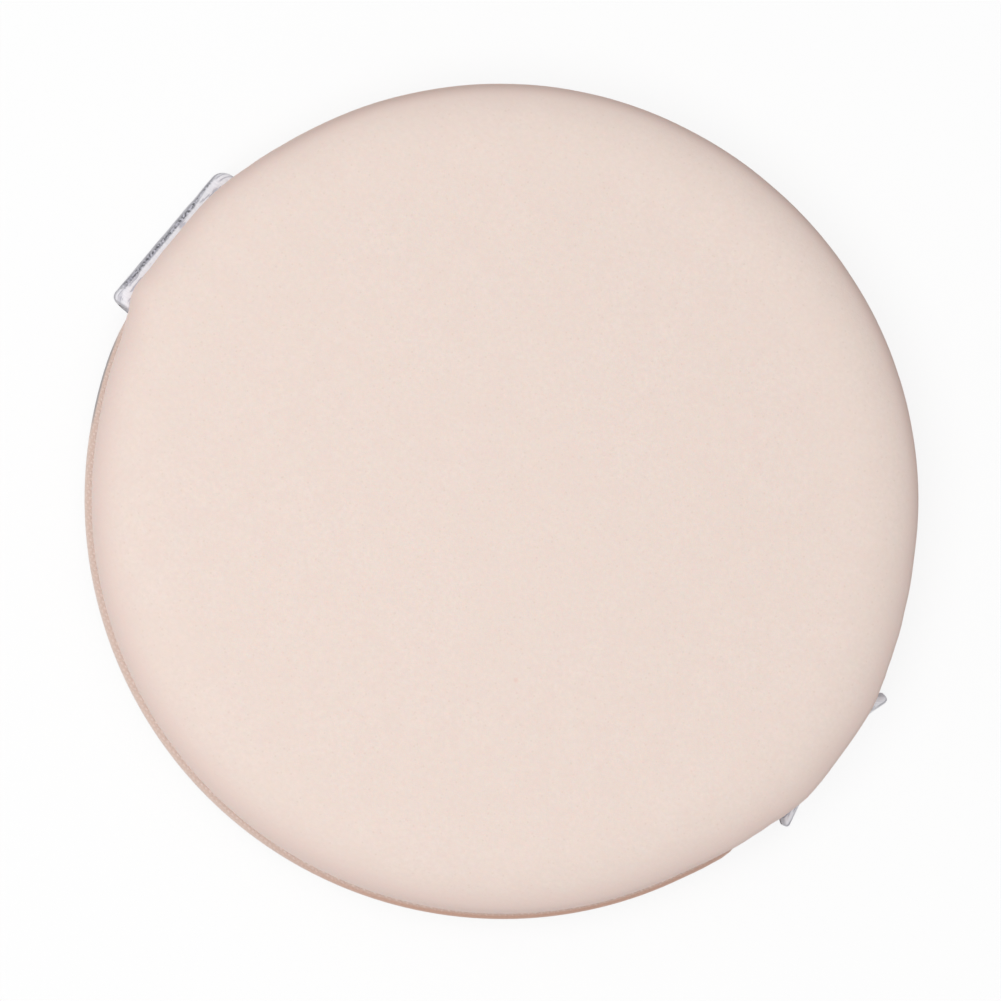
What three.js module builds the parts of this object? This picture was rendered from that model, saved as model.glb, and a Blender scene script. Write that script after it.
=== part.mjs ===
// A cushion puff: the round sponge that presses make-up on from a cushion compact.
//
// A sponge core is wrapped in a smooth porous skin, and a fabric-faced back closes it
// underneath. All layers are pressed together round the rim. A satin ribbon crosses the back
// as a finger strap. Each of its ends folds over the rim and is trapped in it.
//
// Millimetres, +Z up. The puff lies on its back with its application face up. The ribbon runs
// along X, its loose fold at -X and its snug fold at +X. The origin is under the middle of
// the puff, on the surface that it lies on.

import * as THREE from 'three';

const { degToRad, lerp, smoothstep, euclideanModulo } = THREE.MathUtils;

// The whole puff
const puffRadius = 26; // to the edge of the pressed rim
const puffHeight = 8.1; // from the ribbon's underside to the top of the crown
const bondLine = 0.1; // glue between two layers

// Satin ribbon
const ribbonWidth = 10.5;
const ribbonThickness = 0.3;
const strapSlack = 0.3; // between the strap and the back
const tailLength = 2.8; // trapped in the rim, at each end
const foldDepth = 1.4; // from a fold's crest to where the ribbon lies flat
const foldRoundness = 2 / 3; // 1 is a round fold, and less is squarer
const looseOverhang = 0.78; // of the loose fold's crest past the rim, at mid width
const snugOverhang = 0.12; // the same of the snug fold

// Fabric-faced back
const backThickness = 1;
const flangeThickness = 0.6;
const flangeWidth = 1;
const flangeSlope = 0.7; // width of the slope down from the flange to the back
const tuckClearance = 0.3; // between the flange and the inside of a fold

// Porous skin
const skinThickness = 1;
const skinInset = 0.2; // of its widest place behind the flange's edge
const widestHeight = 4;
const rollWidth = 4.5; // the rounded shoulder, from the crown to the widest place
const crownRise = 0.1;
const crownFlatRadius = 2;
const sideDrawIn = 0.6; // from the widest place to the foot
const lipWidth = 2.6; // turned in under the core
const lipThickness = 0.7;

// Moisture film and the hot-melt ring that holds the rim
const filmThickness = 0.2;
const ringClearance = 0.3; // between the ring's notches and the ribbon's ends
const ringBridge = 0.8; // left of the ring behind a notch

// Bulges of the rim over the ribbon's ends
const snugBulge = 0.52;
const looseBulge = 0.45;
const bulgeDepth = 7; // how far in from the foot a bulge is felt
const bulgeHoldShare = 0.8; // of the half angle that the ribbon takes up
const narrowFade = degToRad(6.5);
const wideFade = degToRad(15);
const tuckFade = degToRad(6);

// The crest of a fold falls behind a straight line, or stands past it, by these shares of
// the rim's own fall over half the ribbon's width
const looseFallShares = { plusSide: 0.85, minusSide: 0.19, power: 2 };
const snugFallShares = { plusSide: -0.85, minusSide: -0.85, power: 4 };

// Facets
const stepsAround = 60;
const rollSteps = 5;
const edgeSteps = 4;
const foldSteps = 10;
const strapSteps = 8;
const widthSteps = 8;

// Levels, from the surface up
const backBottom = ribbonThickness + strapSlack;
const backTop = backBottom + backThickness;
const seamBottom = backTop + bondLine;
const seamTop = seamBottom + ribbonThickness;
const skinBottom = seamTop + bondLine;
const lipTop = skinBottom + lipThickness;
const coreBottom = Math.max(skinBottom, backTop + filmThickness + 2 * bondLine);

// Radii
const widestRadius = puffRadius - skinInset;
const rollStart = widestRadius - rollWidth;
const footRadius = widestRadius - sideDrawIn;
const lipRadius = footRadius - lipWidth;
const tailEnd = footRadius - tailLength;
const ringNotch = tailEnd - ringClearance;
const ringInner = ringNotch - ringBridge;

// The ribbon at the rim
const halfWidth = ribbonWidth / 2;
const ribbonHalfAngle = Math.asin(halfWidth / puffRadius);
const rimFall = puffRadius - Math.sqrt(puffRadius ** 2 - halfWidth ** 2);

const snugEnd = {
  angle: 0,
  overhang: snugOverhang,
  fallShares: snugFallShares,
  bulge: snugBulge,
  fadeBefore: narrowFade,
  fadeAfter: wideFade,
};
const looseEnd = {
  angle: Math.PI,
  overhang: looseOverhang,
  fallShares: looseFallShares,
  bulge: looseBulge,
  fadeBefore: narrowFade,
  fadeAfter: narrowFade,
};
const ribbonEnds = [snugEnd, looseEnd];

/** The signed angle from a ribbon end to a direction, within half a turn each way. */
function angleFrom(end, angle) {
  return euclideanModulo(angle - end.angle + Math.PI, 2 * Math.PI) - Math.PI;
}

/** How far the ribbon's ends push the rim out, in a direction. */
function rimBulge(angle) {
  let total = 0;
  for (const end of ribbonEnds) {
    const away = angleFrom(end, angle);
    const hold = bulgeHoldShare * ribbonHalfAngle;
    const fade = away > 0 ? end.fadeAfter : end.fadeBefore;
    total += end.bulge * (1 - smoothstep(Math.abs(away), hold, hold + fade));
  }
  return total;
}

/** How far the flange stands past the puff's radius: drawn in where a fold goes round it. */
function flangeBulge(angle) {
  const stepAngle = (2 * Math.PI) / stepsAround;
  let bulge = rimBulge(angle);
  for (const end of ribbonEnds) {
    const tucked = Math.min(end.overhang - ribbonThickness - tuckClearance, bulge);
    const away = Math.abs(angleFrom(end, angle));
    const hold = ribbonHalfAngle + stepAngle;
    bulge = lerp(tucked, bulge, smoothstep(away, hold, hold + tuckFade));
  }
  return bulge;
}

/** A closed round body about Z, its rim moved outward by rimShift(angle). */
function roundBody(profile, rimShift) {
  const geometry = new THREE.LatheGeometry(profile, stepsAround);
  geometry.rotateX(Math.PI / 2);
  const place = geometry.attributes.position;
  for (let i = 0; i < place.count; i += 1) {
    const x = place.getX(i);
    const y = place.getY(i);
    const radius = Math.hypot(x, y);
    if (radius > footRadius - bulgeDepth) {
      const share = smoothstep(radius, footRadius - bulgeDepth, footRadius);
      const stretch = 1 + (rimShift(Math.atan2(y, x)) * share) / radius;
      place.setXY(i, x * stretch, y * stretch);
    }
  }
  geometry.computeVertexNormals();
  return geometry;
}

/** Height of the crown over a radius, flat in the middle for the face's centre. */
function crownHeight(radius) {
  const out = Math.max(radius - crownFlatRadius, 0) / (rollStart - crownFlatRadius);
  return puffHeight - crownRise * out ** 2;
}

/** Radius of the drawn-in side at a height between the foot and the widest place. */
function sideRadius(height) {
  const down = Math.min((widestHeight - height) / (widestHeight - skinBottom), 1);
  return widestRadius - sideDrawIn * (1 - Math.sqrt(1 - down ** 2));
}

/** The dome's profile from its pole to a level on its side, set in by an inset. */
function domeProfile({ inset, lowest, crownSteps, sideSteps }) {
  const points = [new THREE.Vector2(0, puffHeight - inset)];
  for (let step = 0; step < crownSteps; step += 1) {
    const radius = lerp(crownFlatRadius, rollStart, step / crownSteps);
    points.push(new THREE.Vector2(radius, crownHeight(radius) - inset));
  }
  const rollHeight = crownHeight(rollStart) - widestHeight;
  for (let step = 0; step <= rollSteps; step += 1) {
    const angle = ((step / rollSteps) * Math.PI) / 2;
    const radius = rollStart + (rollWidth - inset) * Math.sin(angle);
    const height = widestHeight + (rollHeight - inset) * Math.cos(angle);
    points.push(new THREE.Vector2(radius, height));
  }
  for (let step = 1; step <= sideSteps; step += 1) {
    const height = lerp(widestHeight, lowest, step / sideSteps);
    points.push(new THREE.Vector2(sideRadius(height) - inset, height));
  }
  return points;
}

/** The skin: a dome whose foot turns in under the core as a flat lip. */
function faceSkin() {
  const outer = domeProfile({ inset: 0, lowest: skinBottom, crownSteps: 2, sideSteps: 2 });
  const inner = domeProfile({
    inset: skinThickness,
    lowest: lipTop,
    crownSteps: 1,
    sideSteps: 1,
  });
  const lip = [
    new THREE.Vector2(lipRadius, lipTop),
    new THREE.Vector2(lipRadius, skinBottom),
  ];
  return roundBody([...inner, ...lip, ...outer.reverse()], rimBulge);
}

/** The sponge core: fills the skin, with a rebate round its foot for the skin's lip. */
function cushionCore() {
  const rebateTop = lipTop + bondLine;
  const rebateRadius = lipRadius - bondLine;
  const dome = domeProfile({
    inset: skinThickness + bondLine,
    lowest: rebateTop,
    crownSteps: 1,
    sideSteps: 1,
  });
  const foot = [
    new THREE.Vector2(0, coreBottom),
    new THREE.Vector2(rebateRadius, coreBottom),
    new THREE.Vector2(rebateRadius, rebateTop),
  ];
  return roundBody([...foot, ...dome.reverse()], rimBulge);
}

/** The moisture film: a disc under the core, inside the hot-melt ring. */
function barrierFilm() {
  const radius = ringInner - bondLine;
  const geometry = new THREE.CylinderGeometry(radius, radius, filmThickness, stepsAround);
  geometry.rotateX(Math.PI / 2);
  return geometry;
}

/** The back: a flat disc whose pressed flange is thinner and round at its edge. */
function backCover() {
  const edgeRadius = flangeThickness / 2;
  const edgeCentre = new THREE.Vector2(puffRadius - edgeRadius, backTop - edgeRadius);
  const flangeInner = puffRadius - flangeWidth;
  const points = [
    new THREE.Vector2(0, backBottom),
    new THREE.Vector2(flangeInner - flangeSlope, backBottom),
    new THREE.Vector2(flangeInner, backTop - flangeThickness),
  ];
  for (let step = 0; step <= edgeSteps; step += 1) {
    const angle = (step / edgeSteps - 1 / 2) * Math.PI;
    const out = new THREE.Vector2(Math.cos(angle), Math.sin(angle));
    points.push(out.multiplyScalar(edgeRadius).add(edgeCentre));
  }
  points.push(new THREE.Vector2(0, backTop));
  return roundBody(points, flangeBulge);
}

/** The hot-melt ring, notched from outside where the ribbon's ends lie in it. */
function seamBond() {
  const outer = footRadius - bondLine;
  const halfNotch = halfWidth + ringClearance;
  const notchAngle = Math.asin(halfNotch / outer);
  const ring = new THREE.Shape();
  ring.absarc(0, 0, outer, notchAngle, Math.PI - notchAngle);
  ring.lineTo(-ringNotch, halfNotch);
  ring.lineTo(-ringNotch, -halfNotch);
  ring.absarc(0, 0, outer, Math.PI + notchAngle, 2 * Math.PI - notchAngle);
  ring.lineTo(ringNotch, -halfNotch);
  ring.lineTo(ringNotch, halfNotch);
  ring.closePath();
  const hole = new THREE.Path();
  hole.absarc(0, 0, ringInner, 0, 2 * Math.PI);
  ring.holes.push(hole);
  return new THREE.ExtrudeGeometry(ring, {
    depth: ribbonThickness,
    bevelEnabled: false,
    curveSegments: stepsAround / 2,
  });
}

/** How far out a fold's crest stands, at a place across the ribbon's width. */
function foldCrest(end, y) {
  const { plusSide, minusSide, power } = end.fallShares;
  const fall = (y > 0 ? plusSide : minusSide) * rimFall;
  return puffRadius + end.overhang - fall * Math.abs(y / halfWidth) ** power;
}

/** One fold seen from the side, from its trapped tail over the crest to the flat strap. */
function foldLine(end, y) {
  const strapMiddle = ribbonThickness / 2;
  const seamMiddle = (seamBottom + seamTop) / 2;
  const halfHeight = (seamMiddle - strapMiddle) / 2;
  const centre = foldCrest(end, y) - ribbonThickness / 2 - foldDepth;
  const line = [new THREE.Vector2(tailEnd, seamMiddle)];
  for (let step = 0; step <= foldSteps; step += 1) {
    const angle = (1 / 2 - step / foldSteps) * Math.PI;
    const out = Math.abs(Math.cos(angle)) ** foldRoundness;
    const up = Math.sign(Math.sin(angle)) * Math.abs(Math.sin(angle)) ** foldRoundness;
    line.push(
      new THREE.Vector2(centre + foldDepth * out, strapMiddle + halfHeight * (1 + up)),
    );
  }
  return line;
}

/** The ribbon's middle surface at one place across its width, from tail to tail. */
function ribbonLine(y) {
  const loose = foldLine(looseEnd, y);
  const snug = foldLine(snugEnd, y);
  const strapStart = -loose.at(-1).x;
  const strapEnd = snug.at(-1).x;
  const line = loose.map((point) => new THREE.Vector3(-point.x, y, point.y));
  for (let step = 1; step < strapSteps; step += 1) {
    const x = lerp(strapStart, strapEnd, step / strapSteps);
    line.push(new THREE.Vector3(x, y, ribbonThickness / 2));
  }
  for (const point of snug.reverse()) {
    line.push(new THREE.Vector3(point.x, y, point.y));
  }
  return line;
}

/** The direction square to a grid of points at one of them. */
function gridNormal(grid, i, j) {
  const lastLine = grid.length - 1;
  const lastPoint = grid[0].length - 1;
  const across = new THREE.Vector3().subVectors(
    grid[Math.min(i + 1, lastLine)][j],
    grid[Math.max(i - 1, 0)][j],
  );
  const along = new THREE.Vector3().subVectors(
    grid[i][Math.min(j + 1, lastPoint)],
    grid[i][Math.max(j - 1, 0)],
  );
  return along.cross(across).normalize();
}

/** The places in a grid of points that go once round its edge. */
function gridEdge(lines, points) {
  const edge = [];
  for (let j = 0; j < points - 1; j += 1) edge.push(j);
  for (let i = 0; i < lines - 1; i += 1) edge.push(i * points + points - 1);
  for (let j = points - 1; j > 0; j -= 1) edge.push((lines - 1) * points + j);
  for (let i = lines - 1; i > 0; i -= 1) edge.push(i * points);
  return edge;
}

/** A closed sheet of one thickness about a grid of points. */
function sheetBody(grid, thickness) {
  const lines = grid.length;
  const points = grid[0].length;
  const places = [];
  for (const side of [1, -1]) {
    for (let i = 0; i < lines; i += 1) {
      for (let j = 0; j < points; j += 1) {
        const offset = gridNormal(grid, i, j).multiplyScalar((side * thickness) / 2);
        places.push(...offset.add(grid[i][j]));
      }
    }
  }
  const under = lines * points;
  const index = [];
  for (let i = 0; i < lines - 1; i += 1) {
    for (let j = 0; j < points - 1; j += 1) {
      const a = i * points + j;
      const b = a + 1;
      const c = b + points;
      const d = a + points;
      index.push(a, b, c, a, c, d);
      index.push(under + a, under + c, under + b, under + a, under + d, under + c);
    }
  }
  const edge = gridEdge(lines, points);
  edge.forEach((a, k) => {
    const b = edge[(k + 1) % edge.length];
    index.push(b, a, under + a, b, under + a, under + b);
  });
  const geometry = new THREE.BufferGeometry();
  geometry.setAttribute('position', new THREE.Float32BufferAttribute(places, 3));
  geometry.setIndex(index);
  geometry.computeVertexNormals();
  return geometry;
}

/** The ribbon: one strip from tail to tail, folded over the rim at both ends. */
function ribbonStrap() {
  const grid = [];
  for (let step = 0; step <= widthSteps; step += 1) {
    grid.push(ribbonLine(lerp(-halfWidth, halfWidth, step / widthSteps)));
  }
  return sheetBody(grid, ribbonThickness);
}

/** A named piece of the puff in its own material, set at a height. */
function piece(name, geometry, material, height = 0) {
  const mesh = new THREE.Mesh(geometry, new THREE.MeshStandardMaterial(material));
  mesh.name = name;
  mesh.position.z = height;
  return mesh;
}

const porousSkin = { color: 0xeedcd2, roughness: 0.85, metalness: 0 };
const sponge = { color: 0xf2e3d6, roughness: 0.95, metalness: 0 };
const clearFilm = { color: 0xe6e3df, roughness: 0.35, metalness: 0 };
const tanFabric = { color: 0xc7a48e, roughness: 0.9, metalness: 0 };
const hotMelt = { color: 0xe0d3c4, roughness: 0.5, metalness: 0 };
const satin = { color: 0xdcdae2, roughness: 0.4, metalness: 0 };

const cushionPuff = new THREE.Group();
cushionPuff.add(
  piece('face_skin', faceSkin(), porousSkin),
  piece('cushion_core', cushionCore(), sponge),
  piece('barrier_film', barrierFilm(), clearFilm, coreBottom - bondLine - filmThickness / 2),
  piece('seam_bond', seamBond(), hotMelt, seamBottom),
  piece('back_cover', backCover(), tanFabric),
  piece('ribbon_strap', ribbonStrap(), satin),
);

export default cushionPuff;
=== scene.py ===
"""The cushion puff in its finished materials, on a pale table in soft studio light."""

import math

import bmesh
import bpy
from mathutils import Matrix, Vector, noise
from mathutils.geometry import interpolate_bezier
from mathutils.kdtree import KDTree


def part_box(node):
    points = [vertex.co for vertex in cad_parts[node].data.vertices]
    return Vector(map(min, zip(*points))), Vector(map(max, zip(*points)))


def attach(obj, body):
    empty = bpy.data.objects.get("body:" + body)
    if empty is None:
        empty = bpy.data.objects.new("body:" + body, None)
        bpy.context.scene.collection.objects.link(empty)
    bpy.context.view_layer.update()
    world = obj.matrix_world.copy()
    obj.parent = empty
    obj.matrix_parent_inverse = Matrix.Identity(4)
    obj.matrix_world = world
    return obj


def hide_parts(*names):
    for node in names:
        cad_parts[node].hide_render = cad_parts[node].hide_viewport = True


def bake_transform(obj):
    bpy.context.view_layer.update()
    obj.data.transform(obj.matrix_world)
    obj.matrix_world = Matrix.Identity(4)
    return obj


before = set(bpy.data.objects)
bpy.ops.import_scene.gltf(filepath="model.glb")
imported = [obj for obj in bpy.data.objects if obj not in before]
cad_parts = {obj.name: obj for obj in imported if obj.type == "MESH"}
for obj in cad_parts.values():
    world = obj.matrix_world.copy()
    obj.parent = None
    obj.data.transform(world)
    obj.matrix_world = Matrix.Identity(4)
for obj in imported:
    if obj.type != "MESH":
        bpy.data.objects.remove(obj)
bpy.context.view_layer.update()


# The back
# A disc of tan warp knit on a millimetre of foam, die-cut round. The mould that welds the
# layers together presses its edge thin, and the ribbon's folds draw that edge in.

MM = 0.001
back_low, back_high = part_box("back_cover")
puff_radius = back_high.y
ribbon_width = 10.5 * MM
ribbon_half_angle = math.asin(ribbon_width / 2 / puff_radius)
loose_end, snug_end = math.pi, 0.0
# The rim stands out over each trapped end: stops of (degrees from that end, millimetres).
BULGES = {
    loose_end: (
        (-42, 0), (-30, 0.05), (-20, 0.08), (-14.5, 0.2), (-9.2, 0.34), (-6.5, 0.37), (0, 0.29),
        (4.5, 0.38), (6.6, 0.43), (8.3, 0.6), (9.8, 0.62), (10.8, 0.52), (12.6, 0.24), (17, 0.05),
        (28, 0),
    ),
    snug_end: (
        (-26, 0), (-21, 0.07), (-16, 0.21), (-12.4, 0.33), (-9.3, 0.53), (-6, 0.66),
        (2, 0.54), (9.3, 0.57), (12.6, 0.43), (15, 0.32), (19, 0.22), (24, 0.09), (31, 0),
    ),
}
# It is a little uneven all round: (waves round the rim, millimetres, degrees to a crest).
UNEVENNESS = ((2, 0.025, -30), (3, 0.02, 115), (4, 0.015, -175), (5, 0.02, -110))
# The skin stands back from the tan edge in two places: stops of (degrees, millimetres).
SKIN_SET_IN = (
    (-170, 0), (-162, 0.1), (-155, 0.14), (-148, 0.15), (-141, 0.11), (-133, 0.075), (-118, 0.06),
    (-105, 0.03), (-84, 0), (-56, 0), (-44, 0.02), (-38, 0.04), (-31, 0.09), (-25, 0.08),
    (-19, 0),
)
back_off_centre = 0.045 * MM
off_centre_side = math.radians(-24)
bulge_depth = 7 * MM
tuck_depth = {loose_end: 0.05 * MM, snug_end: 0.5 * MM}
tuck_hold = ribbon_half_angle + math.radians(1.5)
tuck_fade = {loose_end: math.radians(5), snug_end: math.radians(6.5)}
same_place = 0.001 * MM


def eased(value, start, end):
    """0 before start, 1 after end, and a smooth rise between them."""
    share = min(max((value - start) / (end - start), 0), 1)
    return share * share * (3 - 2 * share)


def angle_of(vert):
    """The direction in which a vertex lies from the puff's middle."""
    return math.atan2(vert.co.y, vert.co.x)


def angle_from(end, angle):
    """The signed angle from a ribbon end to a direction."""
    return (angle - end + math.pi) % (2 * math.pi) - math.pi


def on_side(angle, side, gone, full):
    """1 on one side of the puff, fading round it. Gone and full are cosines of the angle off it."""
    return eased(math.cos(angle - side), gone, full)


def between_stops(stops, place):
    """A length off a row of stops (place, millimetres), easing smoothly from one to the next."""
    for (start, low), (stop, high) in zip(stops, stops[1:]):
        if start <= place < stop:
            return (low + (high - low) * eased(place, start, stop)) * MM
    return 0


def rim_bulge(angle):
    """How far the rim stands out in a direction: its unevenness, and the trapped ribbon ends."""
    total = 0
    for waves, height, crest in UNEVENNESS:
        total += height * MM * math.cos(waves * angle - math.radians(crest))
    for end, bulge in BULGES.items():
        total += between_stops(bulge, math.degrees(angle_from(end, angle)))
    return total


def skin_bulge(angle):
    """The same for the skin and the sponge, which stand back a little in places."""
    return rim_bulge(angle) - between_stops(SKIN_SET_IN, math.degrees(angle_from(0, angle)))


def flange_bulge(angle):
    """The same for the back's edge, off centre, which the folds draw in under the ribbon."""
    bulge = rim_bulge(angle) + back_off_centre * math.cos(angle - off_centre_side)
    for end, depth in tuck_depth.items():
        share = eased(abs(angle_from(end, angle)), tuck_hold, tuck_hold + tuck_fade[end])
        bulge = -depth * (1 - share) + bulge * share
    return bulge


def put_in_order(bm):
    """Sorts a mesh's points, edges and faces by place, so that each run makes the same mesh."""
    by_place = sorted(bm.verts, key=lambda vert: tuple(vert.co))
    rank = {vert: number for number, vert in enumerate(by_place)}
    bm.verts.sort(key=rank.get)
    for parts in (bm.edges, bm.faces):
        by_points = sorted(parts, key=lambda part: sorted(rank[vert] for vert in part.verts))
        order = {part: number for number, part in enumerate(by_points)}
        parts.sort(key=order.get)


def spun(profile, steps):
    """A closed round body: a profile of (radius, height) points, spun about the upright axis."""
    bm = bmesh.new()
    points = [bm.verts.new((radius, 0, height)) for radius, height in profile]
    for first, second in zip(points, points[1:]):
        bm.edges.new((first, second))
    bmesh.ops.spin(
        bm,
        geom=bm.verts[:] + bm.edges[:],
        axis=(0, 0, 1),
        angle=2 * math.pi,
        steps=steps,
        use_merge=True,
    )
    bmesh.ops.remove_doubles(bm, verts=bm.verts, dist=same_place)
    put_in_order(bm)
    bmesh.ops.recalc_face_normals(bm, faces=bm.faces)
    return bm


def move_rim(bm, shift, foot):
    """Moves the rim of a round body outward by shift(angle), all of it from foot outward."""
    for vert in bm.verts:
        radius = vert.co.xy.length
        share = eased(radius, foot - bulge_depth, foot)
        if share > 0:
            vert.co.xy *= 1 + shift(angle_of(vert)) * share / radius


def as_piece(bm, name, material, body="pad"):
    """Makes the piece's object out of its mesh, smooth, and riding on a body."""
    mesh = bpy.data.meshes.new(name)
    bm.to_mesh(mesh)
    bm.free()
    mesh.polygons.foreach_set("use_smooth", [True] * len(mesh.polygons))
    mesh.materials.append(material)
    piece = bpy.data.objects.new(name, mesh)
    bpy.context.scene.collection.objects.link(piece)
    if body:
        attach(piece, body)
    return piece


def arc(centre, radius, start, end, steps):
    """Points on an arc in the (radius, height) plane, its angles in degrees."""
    for step in range(steps + 1):
        angle = math.radians(start + (end - start) * step / steps)
        yield centre[0] + radius * math.cos(angle), centre[1] + radius * math.sin(angle)


def finish_nodes(name, colour, roughness):
    """A new material with one Principled shader, and the means to add to it."""
    material = bpy.data.materials.new(name)
    material.use_nodes = True
    nodes = material.node_tree.nodes
    shader = nodes["Principled BSDF"]
    shader.inputs["Base Color"].default_value = (*colour, 1)
    shader.inputs["Roughness"].default_value = roughness
    return material, nodes, material.node_tree.links, shader


def texture_at(nodes, links, kind, scale, **inputs):
    """A texture node that reads the piece's own coordinates in metres."""
    place = nodes.new("ShaderNodeTexCoord")
    texture = nodes.new(kind)
    links.new(place.outputs["Object"], texture.inputs["Vector"])
    texture.inputs["Scale"].default_value = scale
    for name, value in inputs.items():
        texture.inputs[name].default_value = value
    return texture


def tinted(nodes, links, factor, low, high, dark, light):
    """A colour that goes from dark to light as a factor goes from low to high."""
    ramp = nodes.new("ShaderNodeValToRGB")
    ramp.color_ramp.elements[0].position = low
    ramp.color_ramp.elements[0].color = (*dark, 1)
    ramp.color_ramp.elements[1].position = high
    ramp.color_ramp.elements[1].color = (*light, 1)
    links.new(factor, ramp.inputs["Fac"])
    return ramp.outputs["Color"]


def embossed(nodes, links, height, distance, strength, onto=None):
    """A bump of a height texture, on top of another bump where one is given."""
    bump = nodes.new("ShaderNodeBump")
    bump.inputs["Distance"].default_value = distance
    bump.inputs["Strength"].default_value = strength
    links.new(height, bump.inputs["Height"])
    if onto:
        links.new(onto, bump.inputs["Normal"])
    return bump.outputs["Normal"]


def painted(nodes, name):
    """The factor that is painted on a piece's mesh under a name."""
    attribute = nodes.new("ShaderNodeAttribute")
    attribute.attribute_name = name
    return attribute.outputs["Fac"]


def combined(nodes, links, operation, one, other):
    """Two factors put together: MULTIPLY gives their product, and MAXIMUM the greater."""
    both = nodes.new("ShaderNodeMath")
    both.operation = operation
    links.new(one, both.inputs[0])
    links.new(other, both.inputs[1])
    return both.outputs[0]


def mixed(nodes, links, factor, under, over):
    """One colour laid over another by a factor. Each is another node's, or a plain one."""
    mix = nodes.new("ShaderNodeMix")
    mix.data_type = "RGBA"
    links.new(factor, mix.inputs["Factor"])
    for socket, colour in (("A", under), ("B", over)):
        if isinstance(colour, tuple):
            mix.inputs[socket].default_value = (*colour, 1)
        else:
            links.new(colour, mix.inputs[socket])
    return mix.outputs["Result"]


def tan_knit():
    """Fine warp knit: wales a third of a millimetre apart, courses a quarter, and short fuzz.

    Painted on the mesh: knitted where the knit covers the layers, cut_edge where the mould has
    browned them, and a dark grey line along the edge beside the loose fold.
    """
    tan = (0.80, 0.65, 0.575)
    material, nodes, links, shader = finish_nodes("tan_knit", tan, 0.92)
    wales = texture_at(nodes, links, "ShaderNodeTexWave", 950, Distortion=1.2, Detail=1)
    courses = texture_at(nodes, links, "ShaderNodeTexWave", 1250, Distortion=1.8)
    courses.bands_direction = "Y"
    loops = combined(nodes, links, "MULTIPLY", wales.outputs["Fac"], courses.outputs["Fac"])
    fuzz = texture_at(nodes, links, "ShaderNodeTexNoise", 5200, Detail=3).outputs["Fac"]
    knit = tinted(nodes, links, loops, 0, 0.8, (0.715, 0.57, 0.50), (0.835, 0.69, 0.625))
    layers = tinted(nodes, links, fuzz, 0.3, 0.7, (0.73, 0.58, 0.505), (0.84, 0.69, 0.615))
    knitted = painted(nodes, "knitted")
    colour = mixed(nodes, links, knitted, layers, knit)
    # cut_edge browns the edge; the other mark is a dark grey line painted along it beside the loose
    # fold.
    for wear, tone in (("cut_edge", (0.608, 0.36, 0.268)), ("grey_edge_line", (0.30, 0.29, 0.30))):
        colour = mixed(nodes, links, painted(nodes, wear), colour, tone)
    links.new(colour, shader.inputs["Base Color"])
    raised = combined(nodes, links, "MULTIPLY", knitted, loops)
    bump = embossed(nodes, links, raised, 0.12 * MM, 0.4)
    bump = embossed(nodes, links, fuzz, 0.05 * MM, 0.5, bump)
    links.new(bump, shader.inputs["Normal"])
    shader.inputs["Sheen Weight"].default_value = 0.25
    shader.inputs["Sheen Roughness"].default_value = 0.6
    return material


flange_thickness = 0.6 * MM
flange_width = 1.0 * MM
flange_slope = 0.7 * MM
press_groove = 0.12 * MM
flange_inner = puff_radius - flange_width
flange_bottom = back_high.z - flange_thickness
edge_radius = 0.22 * MM
edge_steps = 4
edge_x = puff_radius - edge_radius
browned_from, browned_full = edge_x - 0.08 * MM, edge_x + 0.08 * MM
knit_end, knit_gone = edge_x + 0.1 * MM, edge_x + 0.2 * MM
grey_line_full = edge_x + 0.17 * MM
scorched_side = math.radians(-45)
scorched_fade = (0.7, 0.99)
scorched_least, scorched_more = 0.12, 0.78
# A dark grey line painted along the edge beside the loose fold: its side, the cosines off it where
# it is gone and full, and how strong it is.
grey_line_side = math.radians(202)
grey_line_fade = (0.9915, 0.9978)
grey_line_most = 0.9
rim_steps = 240
profile = [
    (0, back_low.z),
    (flange_inner * 0.35, back_low.z),
    (flange_inner * 0.7, back_low.z),
    (flange_inner - flange_slope * 3, back_low.z),
    (flange_inner - flange_slope * 1.6, back_low.z + press_groove * 0.1),
    (flange_inner - flange_slope, back_low.z + press_groove * 0.8),
    (flange_inner - flange_slope * 0.3, flange_bottom - press_groove * 0.8),
    (flange_inner, flange_bottom + press_groove * 0.4),
    (flange_inner + flange_width * 0.3, flange_bottom),
    *arc((edge_x, flange_bottom + edge_radius), edge_radius, -90, 0, edge_steps),
    *arc((edge_x, back_high.z - edge_radius), edge_radius, 0, 90, edge_steps),
    (browned_from, back_high.z),
    (flange_inner, back_high.z),
    (flange_inner * 0.6, back_high.z),
    (0, back_high.z),
]
bm = spun(profile, rim_steps)
cut_edge = bm.verts.layers.float.new("cut_edge")
knitted = bm.verts.layers.float.new("knitted")
grey_edge_line = bm.verts.layers.float.new("grey_edge_line")
for vert in bm.verts:
    angle, radius = angle_of(vert), vert.co.xy.length
    scorched = scorched_least + scorched_more * on_side(angle, scorched_side, *scorched_fade)
    vert[cut_edge] = scorched * eased(radius, browned_from, browned_full)
    vert[grey_edge_line] = grey_line_most * on_side(angle, grey_line_side, *grey_line_fade)
    vert[grey_edge_line] *= eased(radius, knit_end, grey_line_full)
    vert[knitted] = 1 - eased(radius, knit_end, knit_gone)
move_rim(bm, flange_bulge, flange_inner)
back = as_piece(bm, "back_cover_fabric", tan_knit())
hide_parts("back_cover")


# The hot-melt ring and the moisture film
# The ring is an adhesive web that the mould melts, to hold skin, film, ribbon and back
# together round the rim. The film is thin milky plastic, laid under the sponge.


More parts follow.
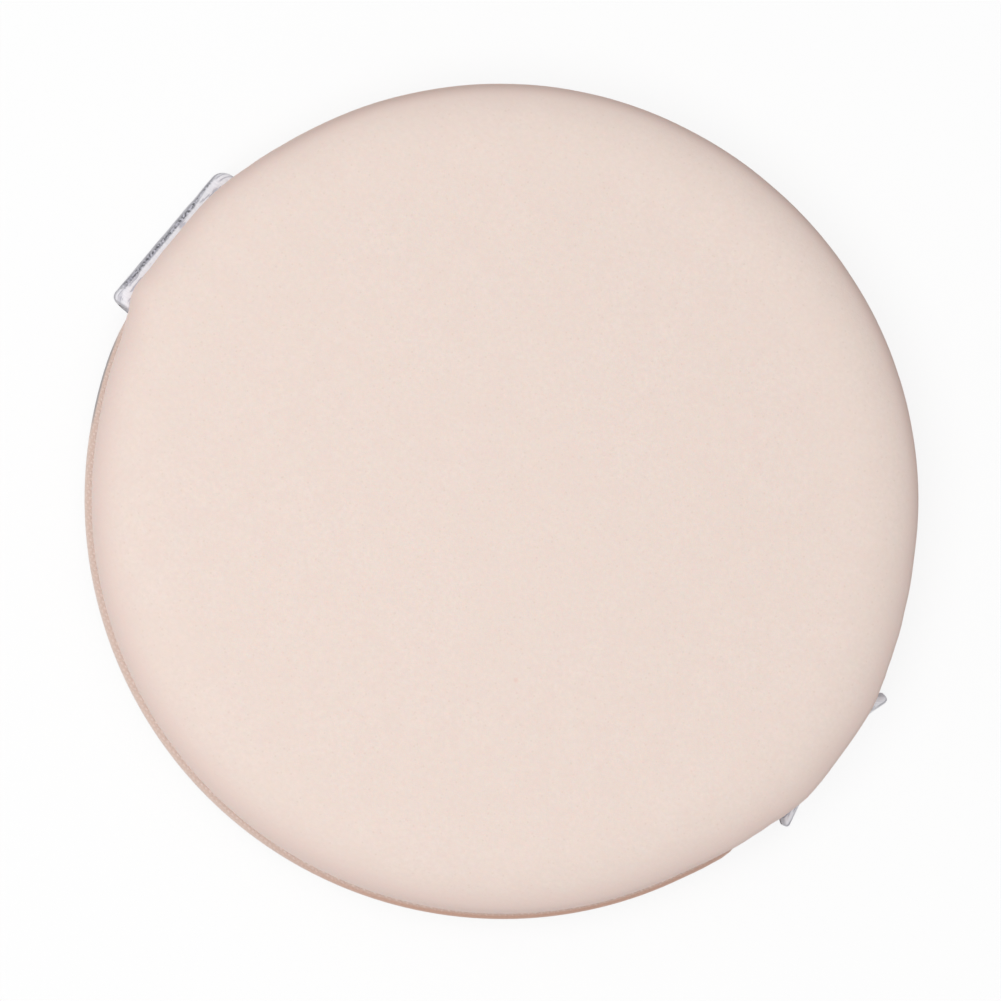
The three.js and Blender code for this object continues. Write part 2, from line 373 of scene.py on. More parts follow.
def hot_melt():
    """Melted adhesive: cream, faintly bubbled, with a dull gloss."""
    material, nodes, links, shader = finish_nodes("hot_melt_adhesive", (0.72, 0.58, 0.47), 0.5)
    bubbles = texture_at(nodes, links, "ShaderNodeTexVoronoi", 2500)
    colour = tinted(
        nodes, links, bubbles.outputs["Distance"], 0, 0.8, (0.66, 0.52, 0.42), (0.76, 0.62, 0.52)
    )
    links.new(colour, shader.inputs["Base Color"])
    bump = embossed(nodes, links, bubbles.outputs["Distance"], 0.05 * MM, 0.6)
    links.new(bump, shader.inputs["Normal"])
    return material


def milky_film():
    """Thin blown film: pale and a little wrinkled."""
    material, nodes, links, shader = finish_nodes("milky_film", (0.79, 0.766, 0.738), 0.35)
    wrinkles = texture_at(nodes, links, "ShaderNodeTexNoise", 300, Detail=4)
    colour = tinted(
        nodes, links, wrinkles.outputs["Fac"], 0.3, 0.7, (0.76, 0.73, 0.70), (0.82, 0.80, 0.78)
    )
    links.new(colour, shader.inputs["Base Color"])
    bump = embossed(nodes, links, wrinkles.outputs["Fac"], 0.1 * MM, 0.4)
    links.new(bump, shader.inputs["Normal"])
    return material


for node, material in (("seam_bond", hot_melt()), ("barrier_film", milky_film())):
    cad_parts[node].data.materials.clear()
    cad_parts[node].data.materials.append(material)


# The sponge core
# Soft open-cell foam, moulded to the shape of the skin that it fills, with a rebate round
# its foot where the skin's lip turns in under it.

skin_low, skin_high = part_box("face_skin")
core_low, core_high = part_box("cushion_core")
crown_top = skin_high.z
widest_height = 4.0 * MM
widest_radius = skin_high.y
roll_width = 5.0 * MM
roll_fullness = 2.6
crown_rise = 0.1 * MM
side_draw_in = 0.6 * MM
lip_width = 2.6 * MM
lip_thickness = 0.7 * MM
glue_line = 0.1 * MM
roll_start = widest_radius - roll_width
foot_radius = widest_radius - side_draw_in
lip_radius = foot_radius - lip_width
core_inset = crown_top - core_high.z


def crown_height(radius):
    """Height of the face over a radius."""
    return crown_top - crown_rise * (radius / roll_start) ** 2


def dome(inset, lowest, crown_steps, roll_steps, side_steps):
    """The dome's profile from its middle to a level on its pulled-in side, set in by an inset."""
    for step in range(crown_steps):
        radius = roll_start * step / crown_steps
        yield radius, crown_height(radius) - inset
    roll_height = crown_height(roll_start) - widest_height
    for step in range(roll_steps + 1):
        angle = math.pi / 2 * step / roll_steps
        out = math.sin(angle) ** (2 / roll_fullness)
        up = max(math.cos(angle), 0) ** (2 / roll_fullness)
        yield roll_start + (roll_width - inset) * out, widest_height + (roll_height - inset) * up
    for step in range(1, side_steps + 1):
        height = widest_height + (lowest - widest_height) * step / side_steps
        down = (widest_height - height) / (widest_height - skin_low.z)
        draw_in = side_draw_in * (1 - math.sqrt(max(1 - down**2, 0)))
        yield widest_radius - inset - draw_in, height


def open_foam():
    """Open-cell foam: pale, with pores a quarter of a millimetre across, and painted shade in them.
    """
    material, nodes, links, shader = finish_nodes("open_foam", (0.887, 0.768, 0.672), 0.95)
    pores = texture_at(nodes, links, "ShaderNodeTexVoronoi", 3800)
    # Painted shade in the pores: darker towards the middle of each cell, where the bump is lowest.
    colour = tinted(
        nodes, links, pores.outputs["Distance"], 0.05, 0.5, (0.62, 0.50, 0.41), (0.89, 0.77, 0.68)
    )
    links.new(colour, shader.inputs["Base Color"])
    bump = embossed(nodes, links, pores.outputs["Distance"], 0.15 * MM, 0.8)
    links.new(bump, shader.inputs["Normal"])
    return material


rebate_top = skin_low.z + lip_thickness + glue_line
core_steps = 120
inner_steps = {"crown_steps": 6, "roll_steps": 12, "side_steps": 3}
profile = [
    (0, core_low.z),
    (lip_radius - glue_line, core_low.z),
    (lip_radius - glue_line, rebate_top),
    *reversed(list(dome(core_inset, rebate_top, **inner_steps))),
]
bm = spun(profile, core_steps)
move_rim(bm, skin_bulge, foot_radius)
core = as_piece(bm, "cushion_core_foam", open_foam())
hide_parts("cushion_core")


# The skin
# Wet-cast polyurethane, a millimetre thick and finely porous, stretched over the sponge. Its
# foot turns in under the sponge and is welded to the ring, so its side is pulled in there.

skin_thickness = 1.0 * MM
skirt_thickness = 0.18 * MM
skirt_clearance = 0.02 * MM
skirt_top = skin_low.z + 0.1 * MM
skirt_foot = back_high.z + skirt_clearance
ribbon_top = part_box("ribbon_strap")[1].z
skirt_over_ribbon = ribbon_top + skirt_clearance
skirt_hold = ribbon_half_angle + math.radians(0.6)
skirt_fade = math.radians(1.6)
lip_top = skin_low.z + lip_thickness
fleck_place = (7.43 * MM, -8.79 * MM, 8.07 * MM)


def fading(nodes, links, value, full, gone, most):
    """A factor that is most where a value is under full, and nothing where it is over gone."""
    span = nodes.new("ShaderNodeMapRange")
    span.interpolation_type = "SMOOTHSTEP"
    links.new(value, span.inputs["Value"])
    span.inputs["From Min"].default_value = full
    span.inputs["From Max"].default_value = gone
    span.inputs["To Min"].default_value = most
    span.inputs["To Max"].default_value = 0
    return span.outputs["Result"]


def porous_skin():
    """Matt wet-cast polyurethane: beige with a faint mottle, tiny open pores with painted shade in
    them, and one fleck.

    Painted on the mesh: a painted warm shade, a deeper and redder beige, low on the skin's side,
    and a painted grey-brown shade on its side, mostly on the side turned from the lamp.
    """
    beige = (0.855, 0.716, 0.645)
    material, nodes, links, shader = finish_nodes("porous_skin", beige, 0.8)
    shader.inputs["Subsurface Weight"].default_value = 0.12
    shader.inputs["Subsurface Radius"].default_value = (1.0, 0.35, 0.2)
    shader.inputs["Subsurface Scale"].default_value = 0.9 * MM
    mottle = texture_at(nodes, links, "ShaderNodeTexNoise", 3600, Detail=3)
    colour = tinted(
        nodes, links, mottle.outputs["Fac"], 0.3, 0.7, (0.845, 0.708, 0.638), (0.887, 0.748, 0.678)
    )
    flush = texture_at(nodes, links, "ShaderNodeTexNoise", 620, Detail=2)
    flushed = fading(nodes, links, flush.outputs["Fac"], 0.3, 0.6, 0.28)
    colour = mixed(nodes, links, flushed, colour, (0.845, 0.685, 0.622))
    cloud = texture_at(nodes, links, "ShaderNodeTexNoise", 190, Detail=2)
    clouded = fading(nodes, links, cloud.outputs["Fac"], 0.35, 0.65, 0.3)
    colour = mixed(nodes, links, clouded, colour, (0.855, 0.716, 0.64))
    # Painted shade in the pores: darker at the middle of each cell.
    cells = texture_at(nodes, links, "ShaderNodeTexVoronoi", 2100)
    pit_shade = fading(nodes, links, cells.outputs["Distance"], 0.05, 0.2, 0.3)
    colour = mixed(nodes, links, pit_shade, colour, (0.72, 0.57, 0.48))
    place = nodes.new("ShaderNodeTexCoord")
    apart = nodes.new("ShaderNodeVectorMath")
    apart.operation = "DISTANCE"
    links.new(place.outputs["Object"], apart.inputs[0])
    apart.inputs[1].default_value = fleck_place
    fleck = fading(nodes, links, apart.outputs["Value"], 0.12 * MM, 0.3 * MM, 0.8)
    colour = mixed(nodes, links, fleck, colour, (0.80, 0.53, 0.45))
    # Painted on: a warm shade low on the skin's side, and a grey-brown shade on the side turned
    # from the lamp.
    for wear, tone in (("painted_warm_shade", (0.872, 0.692, 0.628)), ("painted_side_shade", (0.585, 0.422, 0.367))):
        colour = mixed(nodes, links, painted(nodes, wear), colour, tone)
    links.new(colour, shader.inputs["Base Color"])
    pores = texture_at(nodes, links, "ShaderNodeTexNoise", 7000, Detail=3)
    bump = embossed(nodes, links, pores.outputs["Fac"], 0.03 * MM, 0.6)
    links.new(bump, shader.inputs["Normal"])
    return material


outer_profile = list(dome(0, skirt_top, crown_steps=16, roll_steps=30, side_steps=8))
skirt_radius = outer_profile[-1][0]
profile = [
    *dome(skin_thickness, lip_top, **inner_steps),
    (lip_radius, lip_top),
    (lip_radius, skin_low.z),
    (lip_radius + lip_width * 0.5, skin_low.z),
    (skirt_radius - skirt_thickness, skin_low.z),
    (skirt_radius - skirt_thickness, skirt_foot),
    (skirt_radius + skirt_thickness * 0.7, skirt_foot),
    (skirt_radius + skirt_thickness * 0.35, (skirt_foot + skin_low.z) / 2),
    *reversed(outer_profile),
]
bm = spun(profile, rim_steps)

welded_height = skin_low.z + 0.05 * MM
held_height = skin_low.z + 0.5 * MM
outer_share_of_roll = 0.86
swell_limit = 0.25 * MM
side_give = 0.3
trial_scale = 20
trial_frames = 20


def on_outside(place):
    """Whether a point of the skin is on its outside, above the weld."""
    radius, height = place.xy.length, place.z
    half_way = skin_thickness * 0.5
    if radius <= roll_start:
        outside = height >= crown_top - crown_rise - half_way
    elif height <= widest_height:
        outside = radius >= skirt_radius - half_way
    else:
        share = (radius - roll_start) / roll_width
        rise = (height - widest_height) / (crown_top - crown_rise - widest_height)
        outside = share**roll_fullness + rise**roll_fullness >= outer_share_of_roll
    return outside and height > welded_height


def swell(bm):
    """Blows the skin's outside up as cloth held round its foot, and moves the skin with it."""
    place = bm.verts.layers.int.new("place")
    for number, vert in enumerate(bm.verts):
        vert[place] = number
    shell = bm.copy()
    rest = [vert for vert in shell.verts if not on_outside(vert.co)]
    bmesh.ops.delete(shell, geom=rest, context="VERTS")
    bmesh.ops.scale(shell, vec=(trial_scale, trial_scale, trial_scale), verts=shell.verts)
    copied_place = shell.verts.layers.int["place"]
    numbers = [vert[copied_place] for vert in shell.verts]
    heights = [vert.co.z / trial_scale for vert in shell.verts]
    held = [index for index, height in enumerate(heights) if height < held_height]
    mesh = bpy.data.meshes.new("skin_trial")
    shell.to_mesh(mesh)
    shell.free()
    trial = bpy.data.objects.new("skin_trial", mesh)
    bpy.context.scene.collection.objects.link(trial)
    group = trial.vertex_groups.new(name="held")
    group.add(held, 1.0, "REPLACE")
    cloth = trial.modifiers.new("blown", "CLOTH")
    cloth.settings.vertex_group_mass = group.name
    cloth.settings.quality = 6
    cloth.settings.mass = 0.3
    cloth.settings.tension_stiffness = 15
    cloth.settings.compression_stiffness = 15
    cloth.settings.shear_stiffness = 5
    cloth.settings.bending_stiffness = 20
    cloth.settings.use_pressure = True
    cloth.settings.uniform_pressure_force = 4
    cloth.settings.effector_weights.gravity = 0
    cloth.collision_settings.use_collision = False
    scene = bpy.context.scene
    for frame_number in range(1, trial_frames + 1):
        scene.frame_set(frame_number)
    shaped = trial.evaluated_get(bpy.context.evaluated_depsgraph_get())
    moves = {}
    for number, before, after in zip(numbers, mesh.vertices, shaped.data.vertices):
        moves[number] = (after.co - before.co) / trial_scale
    scene.frame_set(1)
    bpy.data.objects.remove(trial)
    limited = min(1, swell_limit / max(move.length for move in moves.values()))
    bm.verts.ensure_lookup_table()
    tree = KDTree(len(moves))
    for number in moves:
        tree.insert(bm.verts[number].co, number)
    tree.balance()
    free = [vert for vert in bm.verts if vert.co.z > welded_height]
    nearest = [tree.find(vert.co)[1] for vert in free]
    for vert, number in zip(free, nearest):
        move = moves[number] * limited
        vert.co += Vector((move.x * side_give, move.y * side_give, move.z))


# Painted shade on the skin's side: the direction in degrees, the cosines off it where the shade
# is gone and full, how strong it is, and the millimetres up between which it fades out.
SIDE_SHADING = (
    (102, (0, 0.85), 0.7, (5.5, 7.0)),
    (20, (-0.2, 0.4), 0.25, (5.1, 6.1)),
    (20, (0.85, 1), 0.25, (5.1, 6.1)),
    (-17, (0.985, 0.996), 0.3, (4.2, 5.0)),
)
# A faint painted shade all round the lower side.
side_shade_all_round = 0.03
side_shade_heights = (5.5, 7.0)
# Painted warm shade: the lower side is painted a deeper, redder beige, the colour its shade takes.
warm_shade_most = 0.9
warm_shade_heights = (6.0, 7.7)
painted_side_shade = bm.verts.layers.float.new("painted_side_shade")
painted_warm_shade = bm.verts.layers.float.new("painted_warm_shade")
for vert in bm.verts:
    angle, height = angle_of(vert), vert.co.z / MM
    vert[painted_side_shade] = side_shade_all_round * (1 - eased(height, *side_shade_heights))
    # Painted shade, strongest on the side turned from the lamp.
    for side, fade, most, heights in SIDE_SHADING:
        shaded = most * on_side(angle, math.radians(side), *fade)
        vert[painted_side_shade] += shaded * (1 - eased(height, *heights))
    # Painted warm shade, full low on the side and fading out above.
    vert[painted_warm_shade] = warm_shade_most * (1 - eased(height, *warm_shade_heights))
swell(bm)
move_rim(bm, skin_bulge, foot_radius)
for vert in bm.verts:
    if vert.co.z < skirt_top and vert.co.xy.length > skirt_radius - 2 * skirt_thickness:
        away = min(abs(angle_from(end, angle_of(vert))) for end in BULGES)
        over_ribbon = 1 - eased(away, skirt_hold, skirt_hold + skirt_fade)
        lowest = skirt_foot + (skirt_over_ribbon - skirt_foot) * over_ribbon
        vert.co.z = max(vert.co.z, lowest)
skin = as_piece(bm, "face_skin_cover", porous_skin())
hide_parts("face_skin")


# The ribbon
# Woven satin, cut to length. Both ends are trapped in the rim's weld, and each is folded
# back round the rim, loosely at one end and snugly at the other, to cross under the back.

ribbon_thickness = 0.3 * MM
selvedge_radius = 0.15 * MM
selvedge_least = 0.02
tail_end = foot_radius - 2.8 * MM
fold_depth = 1.7 * MM
fold_height = 0.42 * ribbon_top
upright_above, upright_below = 0.85 * MM, 0.75 * MM
crease_opening = 0.7
crease_opens = (0.5, 0.85)
# Each fold: the side that it lies on, how far out its crest is, how that line slants and, on each
# side, flares; its half width and its shift to the side; its corners' radii; how round its crease
# is; how strongly painted shade darkens its crest and lines its edges; and how far the rim gathers
# it.
LOOSE_FOLD = {
    "sign": -1,
    "crest": 26.765 * MM,
    "slant": 0.12 * MM,
    "flare": (0, 0),
    "power": (2, 2),
    "half": 5.34 * MM,
    "shift": -0.03 * MM,
    "corner": (0.5 * MM, 0.8 * MM),
    "crease": 0.34 * MM,
    "crest_shading": 0.95,
    "edge_shading": 0.6,
    "pinch": 0,
}
SNUG_FOLD = {
    "sign": 1,
    "crest": 26.12 * MM,
    "slant": 0,
    "flare": (0.67 * MM, 0.7 * MM),
    "power": (2.2, 3.4),
    "half": 5.17 * MM,
    "shift": 0.51 * MM,
    "corner": (0.3 * MM, 0.44 * MM),
    "crease": 0.1 * MM,
    "crest_shading": 0,
    "edge_shading": 0.5,
    "pinch": 0.35 * MM,
}
# How far in from a fold's crest each of these starts, and how far in it is full.
gather_reach = (0.75 * MM, 0.1 * MM)
wrinkle_reach = (1.0 * MM, 0.2 * MM)
pucker_and_shade_reach = (1.5 * MM, 0.8 * MM)
edge_shade_reach = (0.2 * MM, 0.06 * MM)
curl_start = 0.84
curl_above = 0.45
curl_below = 0.25
wrinkle_size = 0.9 * MM
wrinkle_depth = 0.08 * MM
wrinkle_sideways = 0.3
wrinkle_elsewhere = Vector((7, 3, 5))
strap_wrinkle_size = 2 * wrinkle_size
strap_wrinkles_full = 0.2
over_points, under_points = 30, 20
tail_rows = 6
fold_rows = over_points + under_points - 2
strap_rows = 40
ribbon_rows = tail_rows + fold_rows + strap_rows
ribbon_columns = 72


def fold_crest(fold, share):
    """How far out the fold stands, at a share of its half width from the middle."""
    side = 1 if share > 0 else 0
    crest = fold["crest"] - fold["slant"] * share
    crest += fold["flare"][side] * abs(share) ** fold["power"][side]
    corner = fold["corner"][side]
    into_corner = (abs(share) - 1) * fold["half"] + corner
    if into_corner > 0:
        crest -= corner - math.sqrt(max(corner**2 - into_corner**2, 0))
    return crest


def ribbon_line(fold, share):
    """The ribbon's outer face in side view: over the rim, down the fold and back under."""
    crest = fold_crest(fold, share)
    crease = fold["crease"] * (1 - crease_opening * eased(abs(share), *crease_opens))
    leave = Vector((crest - fold_depth, ribbon_top, 0))
    widest = Vector((crest, fold_height, 0))
    flat = Vector((crest - fold_depth, 0, 0))
    over = interpolate_bezier(
        leave,
        leave + Vector((fold_depth - crease * 0.7, 0, 0)),
        widest + Vector((-crease * 0.75, upright_above, 0)),
        widest,
        over_points,
    )
    under = interpolate_bezier(
        widest,
        widest - Vector((0, upright_below, 0)),
        flat + Vector((fold_depth * 0.8, 0, 0)),
        flat,
        under_points,
    )
    return over + under[1:]


def near(crest, reach, start, full):
    """0 further in from a crest than start, and 1 from full outward."""
    return eased(reach, crest - start, crest - full)


def ribbon_place(fold, row, share):
    """Where a row of the ribbon lies: how far out, how high, and how much of its skew is left."""
    line = ribbon_line(fold, share)
    left = 1
    if row < tail_rows:
        place = Vector((tail_end, ribbon_top, 0)).lerp(line[0], row / tail_rows)
    elif row <= tail_rows + fold_rows:
        place = line[row - tail_rows]
    else:
        gone = (row - tail_rows - fold_rows) / strap_rows
        place = line[-1].lerp(Vector((0, 0, 0)), gone)
        left = 1 - gone
    reach, height = place.x, place.y
    out = near(fold["crest"], reach, *wrinkle_reach)
    curled = eased(abs(share), curl_start, 1) ** 2 * out
    spot = Vector((reach, share * fold["half"], height + ribbon_top * fold["sign"])) / wrinkle_size
    closing = curl_above if height > fold_height else curl_below
    height = fold_height + (height - fold_height) * (1 - closing * curled)
    if row <= tail_rows + fold_rows:
        reach += wrinkle_sideways * wrinkle_depth * noise.noise(spot) * out
        height += wrinkle_depth * noise.noise(spot + wrinkle_elsewhere) * out
    else:
        spot = Vector((reach, share * fold["half"], 0)) / strap_wrinkle_size
        lift = 1 + noise.noise(spot)
        height += wrinkle_depth * lift * eased(1 - left, 0, strap_wrinkles_full)
    return reach, height, left


def across(fold, share, reach, left):
    """How far to the side a place on the ribbon is, gathered a little where the rim grips it."""
    gathered = 1 - near(fold_crest(fold, share), reach, *gather_reach)
    half = fold["half"] - fold["pinch"] * gathered
    half = ribbon_width / 2 + (half - ribbon_width / 2) * left
    return share * half + fold["shift"] * left


def woven_noise(nodes, links, lengthwise, crosswise, distortion=0):
    """A noise on the flat ribbon's own map in millimetres, with its scale each way."""
    flat = nodes.new("ShaderNodeUVMap")
    stretch = nodes.new("ShaderNodeMapping")
    stretch.inputs["Scale"].default_value = (lengthwise, crosswise, 1)
    links.new(flat.outputs["UV"], stretch.inputs["Vector"])
    texture = nodes.new("ShaderNodeTexNoise")
    texture.inputs["Scale"].default_value = 1
    texture.inputs["Detail"].default_value = 2
    texture.inputs["Distortion"].default_value = distortion
    links.new(stretch.outputs["Vector"], texture.inputs["Vector"])
    return texture.outputs["Fac"]


def satin():
    """Woven satin: cool silvery white, fine floats along the length, and a soft sheen.

    Painted on the mesh: painted shade, near black and speckled, on the loose fold's crest; grey
    painted shade in the dented crinkles of the folds; and painted shade where their edges turn
    away.
    """
    silver = (0.82, 0.81, 0.86)
    material, nodes, links, shader = finish_nodes("satin_weave", silver, 0.4)
    shader.inputs["Anisotropic"].default_value = 0.5
    shader.inputs["Specular IOR Level"].default_value = 0.25
    floats = woven_noise(nodes, links, 1.6, 9)
    colour = tinted(nodes, links, floats, 0.3, 0.7, (0.86, 0.85, 0.90), (0.97, 0.96, 1.0))
    # Painted shade on the loose fold's crest: near black, speckled with lighter glints.
    speckle = woven_noise(nodes, links, 3.3, 6.2)
    dark = tinted(nodes, links, speckle, 0.42, 0.62, (0.05, 0.05, 0.065), (0.62, 0.61, 0.69))
    colour = mixed(nodes, links, painted(nodes, "painted_crest_shade"), colour, dark)
    # Crinkles in the folds: dented by a bump and painted grey with shade.
    pucker_and_shade = fading(nodes, links, woven_noise(nodes, links, 3.4, 0.7, 0.6), 0.38, 0.48, 0.7)
    pucker_and_shade = combined(nodes, links, "MULTIPLY", painted(nodes, "puckers_and_shade"), pucker_and_shade)
    colour = mixed(nodes, links, pucker_and_shade, colour, (0.44, 0.43, 0.50))
    # Painted shade, dark grey, where the fold's crest and the ribbon's edges turn away from the
    # light.
    colour = mixed(nodes, links, painted(nodes, "painted_edge_shade"), colour, (0.25, 0.245, 0.28))
    links.new(colour, shader.inputs["Base Color"])
    bump = embossed(nodes, links, floats, 0.04 * MM, 0.6)
    bump = embossed(nodes, links, pucker_and_shade, -0.1 * MM, 0.6, bump)
    links.new(bump, shader.inputs["Normal"])
    return material


# Where painted shade darkens the loose fold's crest.
crest_shade_in, crest_shade_drift = 0.36 * MM, 0.17 * MM
crest_shade_drifts = (0.4, 0.7)
crest_shade_softness = 0.08 * MM
crest_shade_heights = (0.95 * MM, 1.3 * MM)
crest_shade_sides = (0.72, 0.94)
# The crinkles' dents and painted grey shade: the heights over which they grow, and their least
# share.
pucker_and_shade_heights = (0.3 * MM, 0.9 * MM)
pucker_and_shade_least = 0.25
# Where painted shade lines the fold's crest and the ribbon's edges.
edge_shade_heights = (0.5 * MM, 0.9 * MM)
edge_shade_width = (0.04 * MM, 0.17 * MM)
edge_shade_sides = (0.6, 0.85)


def fold_tones(fold, share, reach, height):
    """How much painted shade the satin has at a place on its fold: on the crest, in the crinkles
    and along the edges.
    """
    crest = fold_crest(fold, share)
    # Painted shade on the loose fold's crest, where it turns down from the light.
    line = crest - crest_shade_in + crest_shade_drift * eased(share, *crest_shade_drifts)
    painted_crest_shade = fold["crest_shading"] * eased(reach, line - crest_shade_softness, line + crest_shade_softness)
    painted_crest_shade *= eased(height, *crest_shade_heights) * (1 - eased(abs(share), *crest_shade_sides))
    # Dents and painted grey shade in the crinkles, most high on the fold near its crest.
    puckers_and_shade = pucker_and_shade_least + (1 - pucker_and_shade_least) * eased(height, *pucker_and_shade_heights)
    puckers_and_shade *= near(fold["crest"], reach, *pucker_and_shade_reach)
    # Painted shade along the crest and the edges, where they turn away from the light.
    at_crest = near(crest, reach, *edge_shade_reach) * eased(height, *edge_shade_heights)
    at_crest *= max(eased(abs(share), *edge_shade_sides), fold["crest_shading"])
    at_edge = 1 - eased((1 - abs(share)) * fold["half"], *edge_shade_width)
    return painted_crest_shade, puckers_and_shade, fold["edge_shading"] * max(at_crest, at_edge)


def grid_place(vert):
    """The row of a vertex of the flat grid, and its share of the ribbon's half width."""
    return round((vert.co.x + 0.5) * ribbon_rows), math.sin(vert.co.y * math.pi)


def ribbon_half(fold):
    """Half of the ribbon, from its trapped end to the middle of the strap, and its length."""
    lengths = [0]
    for row in range(ribbon_rows):
        here, there = ribbon_place(fold, row, 0), ribbon_place(fold, row + 1, 0)
        lengths.append(lengths[-1] + math.hypot(there[0] - here[0], there[1] - here[1]))
    bm = bmesh.new()
    flat = bm.loops.layers.uv.new("cloth")
    tones = [bm.verts.layers.float.new(name) for name in ("painted_crest_shade", "puckers_and_shade", "painted_edge_shade")]
    inward = bm.verts.layers.float_vector.new("inward")
    bmesh.ops.create_grid(bm, x_segments=ribbon_rows, y_segments=ribbon_columns, size=0.5)
    for face in bm.faces:
        for loop in face.loops:
            row, share = grid_place(loop.vert)
            loop[flat].uv = (lengths[row] / MM, share * ribbon_width / 2 / MM)
    for vert in bm.verts:
        row, share = grid_place(vert)
        reach, height, left = ribbon_place(fold, row, share)
        before = ribbon_place(fold, max(row - 1, 0), share)
        after = ribbon_place(fold, min(row + 1, ribbon_rows), share)
        outside = Vector((before[1] - after[1], 0, after[0] - before[0])).normalized()
        outside.x *= fold["sign"]
        from_edge = min((1 - abs(share)) * fold["half"] / selvedge_radius, 1)
        thickness = ribbon_thickness * math.sqrt(max(1 - (1 - from_edge) ** 2, selvedge_least))
        vert[inward] = outside * -thickness
        vert.co = Vector((fold["sign"] * reach, across(fold, share, reach, left), height))
        vert.co -= outside * ((ribbon_thickness - thickness) / 2)
        for tone, value in zip(tones, fold_tones(fold, share, reach, height)):
            vert[tone] = value
    copied = bmesh.ops.duplicate(bm, geom=bm.verts[:] + bm.edges[:] + bm.faces[:])["geom"]
    for item in copied:
        if isinstance(item, bmesh.types.BMVert):
            item.co += item[inward]
    edges = [edge for edge in bm.edges if edge.is_boundary]
    bmesh.ops.bridge_loops(bm, edges=edges)
    for edge in bm.edges:
        if max(abs(vert.co.x) for vert in edge.verts) < same_place:
            edge.smooth = False
    bm.verts.layers.float_vector.remove(inward)
    bmesh.ops.recalc_face_normals(bm, faces=bm.faces)
    return bm, lengths[-1]


weave = satin()
for fold, name in ((LOOSE_FOLD, "ribbon_loose_half"), (SNUG_FOLD, "ribbon_snug_half")):
    bm, length = ribbon_half(fold)
    half = as_piece(bm, name, weave, body=None)
    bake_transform(half)
    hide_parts("ribbon_strap")


# The table, the light and the camera
# The puff lies on a white table under an even sky, with one soft lamp at the left. The
# camera looks almost straight down on the face, tilted a little towards the near side.

table_half = 2.0
table_gap = 0.05 * MM
table_clearness = 0.85
table_tone = (0.85, 0.85, 0.85)
seen_tone = (0.97, 0.97, 0.97)
bm = bmesh.new()
bmesh.ops.create_grid(bm, x_segments=1, y_segments=1, size=table_half)
bmesh.ops.translate(bm, verts=bm.verts, vec=(0, 0, -table_gap))
floor_mesh = bpy.data.meshes.new("table_top")
bm.to_mesh(floor_mesh)
bm.free()
floor = bpy.data.objects.new("table_top", floor_mesh)
bpy.context.scene.collection.objects.link(floor)


def table_white():
    """White to the camera, from the sky behind it, and matt to the light, so it takes a shadow."""
    material = bpy.data.materials.new("table_white")
    material.use_nodes = True
    nodes, links = material.node_tree.nodes, material.node_tree.links
    nodes.remove(nodes["Principled BSDF"])
    rays = nodes.new("ShaderNodeLightPath").outputs
    seen = combined(nodes, links, "MAXIMUM", rays["Is Camera Ray"], rays["Is Glossy Ray"])
    seen = combined(nodes, links, "MAXIMUM", seen, rays["Is Transmission Ray"])
    share = nodes.new("ShaderNodeMath")
    share.operation = "MULTIPLY"
    share.inputs[1].default_value = table_clearness
    links.new(seen, share.inputs[0])
    paint = nodes.new("ShaderNodeBsdfDiffuse")
    links.new(mixed(nodes, links, seen, table_tone, seen_tone), paint.inputs["Color"])
    clear = nodes.new("ShaderNodeBsdfTransparent")
    mix = nodes.new("ShaderNodeMixShader")
    links.new(share.outputs[0], mix.inputs["Fac"])
    links.new(paint.outputs[0], mix.inputs[1])
    links.new(clear.outputs[0], mix.inputs[2])
    links.new(mix.outputs[0], nodes["Material Output"].inputs["Surface"])
    return material


floor.data.materials.append(table_white())

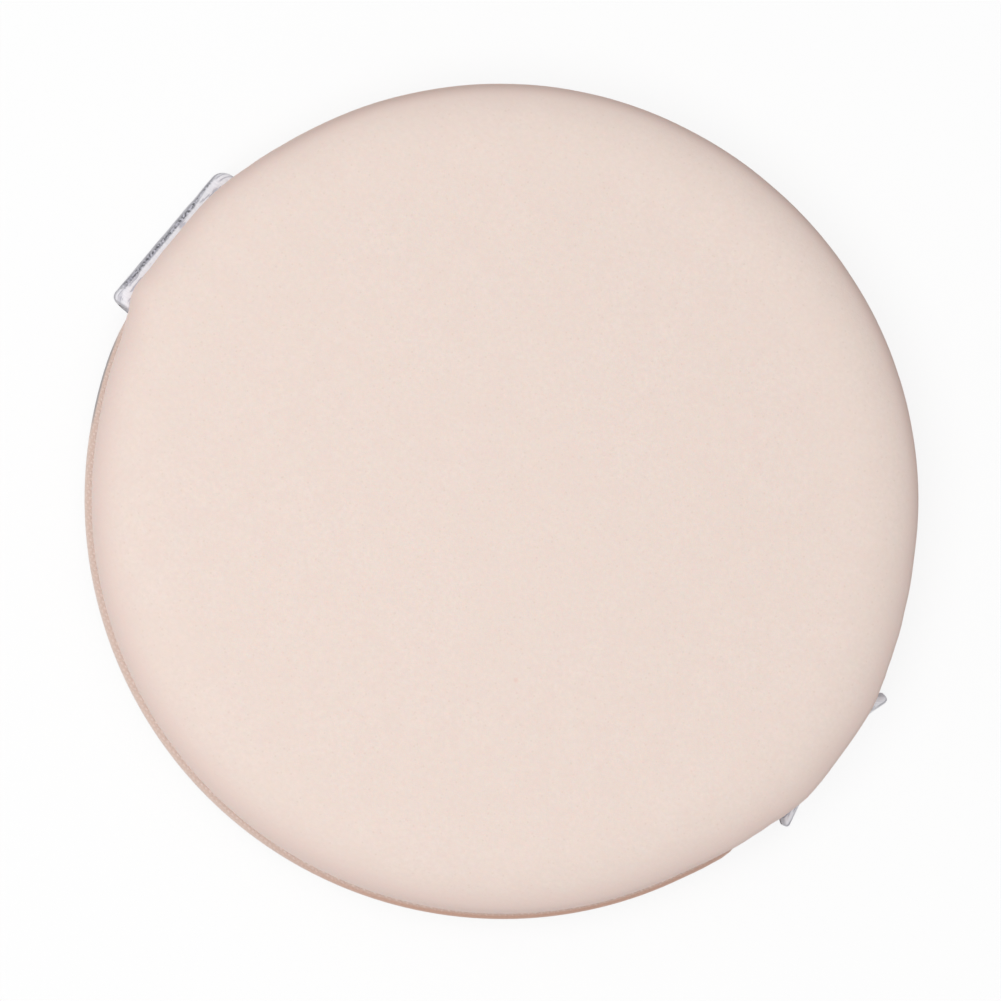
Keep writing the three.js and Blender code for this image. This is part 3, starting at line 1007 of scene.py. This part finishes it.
sky_strength = 0.54
seen_sky_strength = 1.0
world = bpy.data.worlds.new("soft_studio")
bpy.context.scene.world = world
world.use_nodes = True
nodes, links = world.node_tree.nodes, world.node_tree.links
rays = nodes.new("ShaderNodeLightPath").outputs
seen = combined(nodes, links, "MAXIMUM", rays["Is Camera Ray"], rays["Is Glossy Ray"])
strength = nodes.new("ShaderNodeMix")
strength.inputs["A"].default_value = sky_strength
strength.inputs["B"].default_value = seen_sky_strength
links.new(seen, strength.inputs["Factor"])
background = nodes["Background"]
background.inputs["Color"].default_value = (1, 1, 1, 1)
links.new(strength.outputs["Result"], background.inputs["Strength"])

image_turn = math.radians(38.6)


def direction(image_angle, elevation):
    """The direction towards an angle in the picture, counted from its right, and a height."""
    turn = math.radians(image_angle) + image_turn
    rise = math.radians(elevation)
    return Vector(
        (math.cos(turn) * math.cos(rise), math.sin(turn) * math.cos(rise), math.sin(rise))
    )


def facing(back, up):
    """A turn whose Z axis points back and whose Y axis is as near up as it can be."""
    z = back.normalized()
    x = up.cross(z).normalized()
    y = z.cross(x)
    return Matrix((x, y, z)).transposed().to_4x4()


lamp_distance = 0.28
lamp_size = 0.2


def soft_lamp(name, image_angle, elevation, energy):
    """A round soft lamp that faces the puff from a direction."""
    towards = direction(image_angle, elevation)
    lamp = bpy.data.lights.new(name, "AREA")
    lamp.shape = "DISK"
    lamp.size = lamp_size
    lamp.energy = energy
    stand = bpy.data.objects.new(name, lamp)
    turned = facing(towards, Vector((0, 0, 1)))
    stand.matrix_world = Matrix.Translation(towards * lamp_distance) @ turned
    bpy.context.scene.collection.objects.link(stand)


soft_lamp("key_lamp", image_angle=206, elevation=75, energy=0.353)
soft_lamp("fill_lamp", image_angle=146, elevation=30, energy=0.035)

picture_width = 62.37 * MM
shift_left, shift_up = 0.045 * MM, 0.014 * MM
aim = Vector((0, 0, 1.74 * MM))
aim += direction(180, 0) * shift_left + direction(90, 0) * shift_up
towards_camera = direction(image_angle=217, elevation=83.7)
camera_data = bpy.data.cameras.new("camera")
camera_data.lens = 400
camera_data.sensor_width = 36
camera_data.clip_start = 0.01
camera_data.clip_end = 10
camera_distance = picture_width * camera_data.lens / camera_data.sensor_width
camera = bpy.data.objects.new("camera", camera_data)
bpy.context.scene.collection.objects.link(camera)
turned = facing(towards_camera, direction(90, 0))
camera.matrix_world = Matrix.Translation(aim + towards_camera * camera_distance) @ turned
bpy.context.scene.camera = camera
bpy.context.scene.view_settings.view_transform = "Standard"
